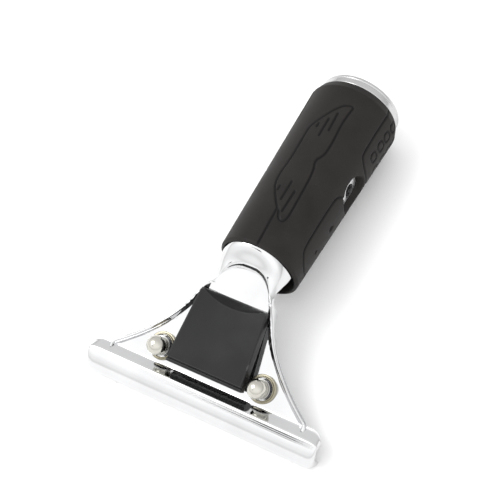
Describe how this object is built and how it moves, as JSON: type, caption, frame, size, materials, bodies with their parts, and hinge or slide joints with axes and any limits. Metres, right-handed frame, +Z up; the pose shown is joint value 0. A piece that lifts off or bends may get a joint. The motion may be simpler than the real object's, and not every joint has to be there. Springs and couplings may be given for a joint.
{
  "type": "squeegee handle",
  "caption": "Hand grip with a stamped steel head whose sprung lower jaw opens when its thumb pad is pressed, to take a blade channel.",
  "frame": {"origin": "centre of the pole socket's mouth, at the tail end of the ring", "axes": "+Y along the socket axis out of the tail, +Z up through the middle of the grip's relief, +X to the right seen from the tail towards the head; the stamped head points to -Y and slopes down 30 degrees"},
  "size_m": [0.1, 0.1438, 0.0487],
  "materials": {
    "polished_stainless": "polished stainless sheet with fine brushing on the lip",
    "satin_stainless": "satin stainless sheet",
    "hardened_steel": "ground",
    "zinc_steel": "bright zinc plate",
    "nickel_plate": "polished nickel plate",
    "passivated_steel": "olive passivated zinc",
    "spring_steel": "drawn wire",
    "rolled_aluminium": "turned and rolled",
    "black_nylon": "moulded",
    "black_rubber": "matt moulded rubber",
    "black_moulding": "fine satin moulding"
  },
  "bodies": {
    "handle": {"upper_jaw": "polished_stainless", "socket_tube": "satin_stainless", "socket_liner": "black_nylon", "liner_plug": "black_nylon", "end_ring": "rolled_aluminium", "rubber_grip": "black_rubber", "spring_cup_left": "passivated_steel", "spring_cup_right": "passivated_steel", "pivot_ear_left": "satin_stainless", "pivot_ear_right": "satin_stainless", "pad_pivot_pin": "zinc_steel", "pin_clip_left": "spring_steel", "pin_clip_right": "spring_steel", "clamp_spring_left": "spring_steel", "clamp_spring_right": "spring_steel"},
    "clamp": {"lower_jaw": "satin_stainless", "tooth_strip": "hardened_steel", "tooth_rivets": "zinc_steel", "clamp_stud_left": "zinc_steel", "clamp_stud_right": "zinc_steel", "dome_nut_left": "nickel_plate", "dome_nut_right": "nickel_plate", "spring_washer_left": "zinc_steel", "spring_washer_right": "zinc_steel"},
    "pad": {"release_pad": "black_moulding"}
  },
  "joints": [
    {"name": "jaw_slide", "type": "slide", "parent": "handle", "child": "clamp", "axis": [0, 0.5, -0.866], "range_m": [0, 0.00175], "stiffness_N_per_m": 3000, "springref_m": -0.003, "deforming": ["clamp_spring_left", "clamp_spring_right"]},
    {"name": "pad_press", "type": "hinge", "parent": "handle", "child": "pad", "pos_m": [0, -0.11225, -0.00294], "axis": [1, 0, 0], "range_deg": [0, 6.5], "stiffness_Nm_per_rad": 0.02}
  ],
  "couplings": [
    {"joint": "pad_press", "follows": "jaw_slide", "rad_per_m": 64.516}
  ]
}
